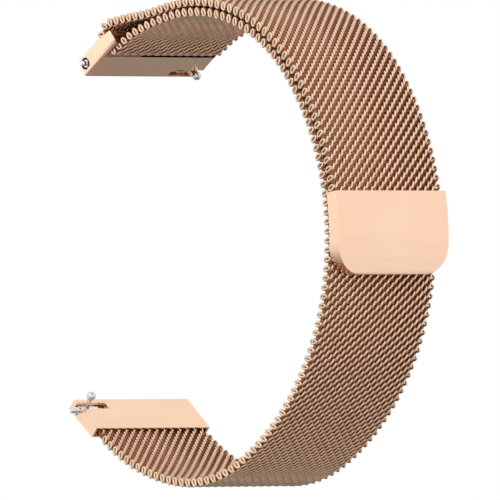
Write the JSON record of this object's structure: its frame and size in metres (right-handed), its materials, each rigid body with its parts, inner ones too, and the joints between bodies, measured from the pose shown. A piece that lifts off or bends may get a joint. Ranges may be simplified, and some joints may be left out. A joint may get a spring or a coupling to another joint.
{
  "type": "watch strap",
  "caption": "Woven steel mesh watch strap with a magnetic clasp, a slotted loop end and quick-release spring bars.",
  "frame": {"origin": "centre of the lower spring bar's axis, which the watch's lugs hold", "axes": "+X across the strap's width, +Y out of the opening where the watch goes, +Z from the lower end piece to the upper one"},
  "size_m": [0.0242, 0.0557, 0.0693],
  "materials": {
    "rose_gold_plate": "satin rose-gold plated stainless steel",
    "rose_gold_mesh": "woven rose-gold plated stainless wire",
    "polished_steel": "polished stainless steel",
    "magnet_alloy": "nickel plated magnet"
  },
  "bodies": {
    "lower_end": {"lower_end_housing": "rose_gold_plate", "lower_weld_bar": "rose_gold_plate", "lower_bar_tube": "polished_steel", "lower_fixed_tip": "polished_steel", "lower_bar_spring": "polished_steel", "mesh_lower_end": "rose_gold_mesh"},
    "lower_release": {"lower_plunger": "polished_steel", "lower_release_lever": "polished_steel"},
    "inner_01": {"mesh_inner_01": "rose_gold_mesh"},
    "inner_02": {"mesh_inner_02": "rose_gold_mesh"},
    "inner_03": {"mesh_inner_03": "rose_gold_mesh"},
    "inner_04": {"mesh_inner_04": "rose_gold_mesh"},
    "inner_05": {"mesh_inner_05": "rose_gold_mesh"},
    "inner_06": {"mesh_inner_06": "rose_gold_mesh"},
    "inner_07": {"mesh_inner_07": "rose_gold_mesh"},
    "inner_08": {"mesh_inner_08": "rose_gold_mesh"},
    "inner_09": {"mesh_inner_09": "rose_gold_mesh"},
    "inner_10": {"mesh_inner_10": "rose_gold_mesh"},
    "fold": {"mesh_fold": "rose_gold_mesh"},
    "upper_end": {"upper_end_loop": "rose_gold_plate", "upper_bar_tube": "polished_steel", "upper_fixed_tip": "polished_steel", "upper_bar_spring": "polished_steel"},
    "upper_release": {"upper_plunger": "polished_steel", "upper_release_lever": "polished_steel"},
    "outer_01": {"mesh_outer_01": "rose_gold_mesh"},
    "outer_02": {"mesh_outer_02": "rose_gold_mesh"},
    "outer_03": {"mesh_outer_03": "rose_gold_mesh"},
    "outer_04": {"mesh_outer_04": "rose_gold_mesh"},
    "outer_05": {"mesh_outer_05": "rose_gold_mesh"},
    "outer_06": {"mesh_outer_06": "rose_gold_mesh"},
    "clasp": {"clasp_cover": "rose_gold_plate", "clasp_back_plate": "rose_gold_plate", "clasp_magnet_left": "magnet_alloy", "clasp_magnet_middle": "magnet_alloy", "clasp_magnet_right": "magnet_alloy", "mesh_clasp_end": "rose_gold_mesh", "clasp_mesh_crimp": "rose_gold_plate"}
  },
  "joints": [
    {"name": "bend_01", "type": "hinge", "parent": "lower_end", "child": "inner_01", "pos_m": [0, -0.00745, -0.00579], "axis": [1, 0, 0], "range_deg": [-2, 24]},
    {"name": "bend_02", "type": "hinge", "parent": "inner_01", "child": "inner_02", "pos_m": [0, -0.01867, -0.00982], "axis": [1, 0, 0], "range_deg": [-2, 24]},
    {"name": "bend_03", "type": "hinge", "parent": "inner_02", "child": "inner_03", "pos_m": [0, -0.03045, -0.00857], "axis": [1, 0, 0], "range_deg": [-2, 24]},
    {"name": "bend_04", "type": "hinge", "parent": "inner_03", "child": "inner_04", "pos_m": [0, -0.04032, -0.00186], "axis": [1, 0, 0], "range_deg": [-2, 24]},
    {"name": "bend_05", "type": "hinge", "parent": "inner_04", "child": "inner_05", "pos_m": [0, -0.04743, 0.00775], "axis": [1, 0, 0], "range_deg": [-2, 24]},
    {"name": "bend_06", "type": "hinge", "parent": "inner_05", "child": "inner_06", "pos_m": [0, -0.05103, 0.01913], "axis": [1, 0, 0], "range_deg": [-2, 24]},
    {"name": "bend_07", "type": "hinge", "parent": "inner_06", "child": "inner_07", "pos_m": [0, -0.05073, 0.03108], "axis": [1, 0, 0], "range_deg": [-0.5, 20]},
    {"name": "bend_08", "type": "hinge", "parent": "inner_07", "child": "inner_08", "pos_m": [0, -0.04657, 0.04227], "axis": [1, 0, 0], "range_deg": [-0.5, 20]},
    {"name": "bend_09", "type": "hinge", "parent": "inner_08", "child": "inner_09", "pos_m": [0, -0.03888, 0.05139], "axis": [1, 0, 0], "range_deg": [-0.5, 20]},
    {"name": "bend_10", "type": "hinge", "parent": "inner_09", "child": "inner_10", "pos_m": [0, -0.02798, 0.05612], "axis": [1, 0, 0], "range_deg": [-0.5, 20]},
    {"name": "bend_11", "type": "hinge", "parent": "inner_10", "child": "fold", "pos_m": [0, -0.01612, 0.05527], "axis": [1, 0, 0], "range_deg": [-0.5, 20]},
    {"name": "loop_swing", "type": "hinge", "parent": "fold", "child": "upper_end", "pos_m": [0, -0.00643, 0.05307], "axis": [1, 0, 0], "range_deg": [-40, 9]},
    {"name": "tail_peel", "type": "hinge", "parent": "fold", "child": "outer_01", "pos_m": [0, -0.01044, 0.05579], "axis": [-1, 0, 0], "range_deg": [0, 40]},
    {"name": "tail_bend_11", "type": "hinge", "parent": "outer_01", "child": "outer_02", "pos_m": [0, -0.01612, 0.05527], "axis": [1, 0, 0], "range_deg": [-20, 0.5]},
    {"name": "tail_bend_10", "type": "hinge", "parent": "outer_02", "child": "outer_03", "pos_m": [0, -0.02798, 0.05612], "axis": [1, 0, 0], "range_deg": [-20, 0.5]},
    {"name": "tail_bend_09", "type": "hinge", "parent": "outer_03", "child": "outer_04", "pos_m": [0, -0.03888, 0.05139], "axis": [1, 0, 0], "range_deg": [-20, 0.5]},
    {"name": "tail_bend_08", "type": "hinge", "parent": "outer_04", "child": "outer_05", "pos_m": [0, -0.04657, 0.04227], "axis": [1, 0, 0], "range_deg": [-20, 0.5]},
    {"name": "clasp_lift", "type": "hinge", "parent": "outer_05", "child": "outer_06", "pos_m": [0, -0.05046, 0.03735], "axis": [-1, 0, 0], "range_deg": [0, 45]},
    {"name": "tail_bend_07", "type": "hinge", "parent": "outer_06", "child": "clasp", "pos_m": [0, -0.05073, 0.03108], "axis": [1, 0, 0], "range_deg": [-20, 0.5]},
    {"name": "lower_release_slide", "type": "slide", "parent": "lower_end", "child": "lower_release", "axis": [1, 0, 0], "range_m": [0, 0.0012], "stiffness_N_per_m": 900, "springref_m": -0.0006},
    {"name": "upper_release_slide", "type": "slide", "parent": "upper_end", "child": "upper_release", "axis": [-1, 0, 0], "range_m": [0, 0.0012], "stiffness_N_per_m": 900, "springref_m": -0.0006}
  ],
  "couplings": [
    {"joint": "tail_bend_07", "follows": "bend_07", "ratio": -1},
    {"joint": "tail_bend_08", "follows": "bend_08", "ratio": -1},
    {"joint": "tail_bend_09", "follows": "bend_09", "ratio": -1},
    {"joint": "tail_bend_10", "follows": "bend_10", "ratio": -1},
    {"joint": "tail_bend_11", "follows": "bend_11", "ratio": -1}
  ]
}
